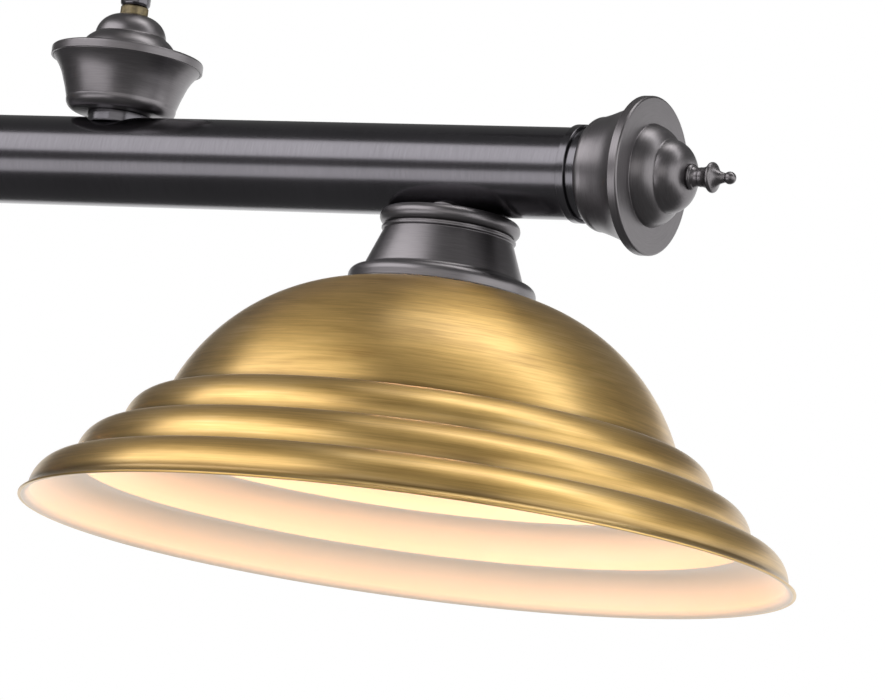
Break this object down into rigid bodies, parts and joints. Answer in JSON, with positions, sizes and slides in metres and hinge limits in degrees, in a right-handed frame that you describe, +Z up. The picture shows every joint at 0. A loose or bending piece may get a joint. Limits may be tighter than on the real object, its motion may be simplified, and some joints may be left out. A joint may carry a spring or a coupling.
{
  "type": "pool table lamp",
  "caption": "Ceiling-hung billiard table lamp: a straight round bar with turned ends on hinged rods, carrying stepped spun brass shades with white insides.",
  "frame": {"origin": "centre of the middle shade rim, on the plane of all rims", "axes": "+X along the bar to the right, +Y away from the viewer, +Z up"},
  "size_m": [1.5181, 0.3556, 0.6745],
  "materials": {
    "bronze_frame": "brushed dark bronze under clear lacquer",
    "brass_shade": "rubbed antique brass outside, warm white enamel inside",
    "socket_porcelain": "glazed white",
    "bulb_glass": "frosted, lit",
    "zinc_steel": "zinc plated",
    "brass_fitting": "bright brass",
    "bulb_base": "rolled thread",
    "wire_insulation": "insulated wire"
  },
  "bodies": {
    "ceiling_parts": {"left_hanger": "bronze_frame", "right_hanger": "bronze_frame", "left_canopy": "bronze_frame", "right_canopy": "bronze_frame", "canopy_nuts": "bronze_frame", "ceiling_straps": "zinc_steel", "strap_nuts": "zinc_steel", "hanger_pins": "zinc_steel"},
    "left_block": {"left_swivel_block": "bronze_frame", "left_block_pin": "zinc_steel"},
    "left_rod": {"left_rod": "bronze_frame", "left_rod_ends": "bronze_frame"},
    "fixture": {"bar_tube": "bronze_frame", "bar_ferrules": "bronze_frame", "end_plugs": "zinc_steel", "end_studs": "zinc_steel", "saddle_washers": "bronze_frame", "lock_rings": "brass_fitting", "hang_nipples": "zinc_steel", "hang_nipple_nuts": "zinc_steel", "lower_pins": "zinc_steel", "lamp_nipples": "zinc_steel", "lamp_nipple_nuts": "zinc_steel", "shade_rings": "socket_porcelain", "socket_screw_shells": "brass_fitting", "bar_wires": "wire_insulation", "left_shade": "brass_shade", "left_shade_holder": "bronze_frame", "left_neck_collar": "bronze_frame", "left_socket": "socket_porcelain", "left_bulb_glass": "bulb_glass", "left_bulb_base": "bulb_base", "middle_shade": "brass_shade", "middle_shade_holder": "bronze_frame", "middle_neck_collar": "bronze_frame", "middle_socket": "socket_porcelain", "middle_bulb_glass": "bulb_glass", "middle_bulb_base": "bulb_base", "right_shade": "brass_shade", "right_shade_holder": "bronze_frame", "right_neck_collar": "bronze_frame", "right_socket": "socket_porcelain", "right_bulb_glass": "bulb_glass", "right_bulb_base": "bulb_base", "left_end_cup": "bronze_frame", "left_end_cap": "bronze_frame", "left_finial": "bronze_frame", "left_hang_cup": "bronze_frame", "left_hang_cap": "bronze_frame", "left_lower_barrel": "bronze_frame", "right_end_cup": "bronze_frame", "right_end_cap": "bronze_frame", "right_finial": "bronze_frame", "right_hang_cup": "bronze_frame", "right_hang_cap": "bronze_frame", "right_lower_barrel": "bronze_frame"},
    "right_rod": {"right_rod": "bronze_frame", "right_rod_ends": "bronze_frame"},
    "right_block": {"right_swivel_block": "bronze_frame", "right_block_pin": "zinc_steel"}
  },
  "joints": [
    {"name": "swing_across", "type": "hinge", "parent": "ceiling_parts", "child": "left_block", "pos_m": [-0.3951, 0, 0.627], "axis": [1, 0, 0], "range_deg": [-30, 30]},
    {"name": "swing_along", "type": "hinge", "parent": "left_block", "child": "left_rod", "pos_m": [-0.3951, 0, 0.607], "axis": [0, 1, 0], "range_deg": [-30, 30]},
    {"name": "left_lower_pivot", "type": "hinge", "parent": "left_rod", "child": "fixture", "pos_m": [-0.3951, 0, 0.271], "axis": [0, 1, 0], "range_deg": [-30, 30]},
    {"name": "right_lower_pivot", "type": "hinge", "parent": "fixture", "child": "right_rod", "pos_m": [0.3951, 0, 0.271], "axis": [0, 1, 0], "range_deg": [-30, 30]},
    {"name": "right_block_pivot", "type": "hinge", "parent": "ceiling_parts", "child": "right_block", "pos_m": [0.3951, 0, 0.627], "axis": [1, 0, 0], "range_deg": [-30, 30]}
  ],
  "couplings": [
    {"joint": "left_lower_pivot", "follows": "swing_along", "ratio": -1},
    {"joint": "right_lower_pivot", "follows": "swing_along", "ratio": 1},
    {"joint": "right_block_pivot", "follows": "swing_across", "ratio": 1}
  ]
}
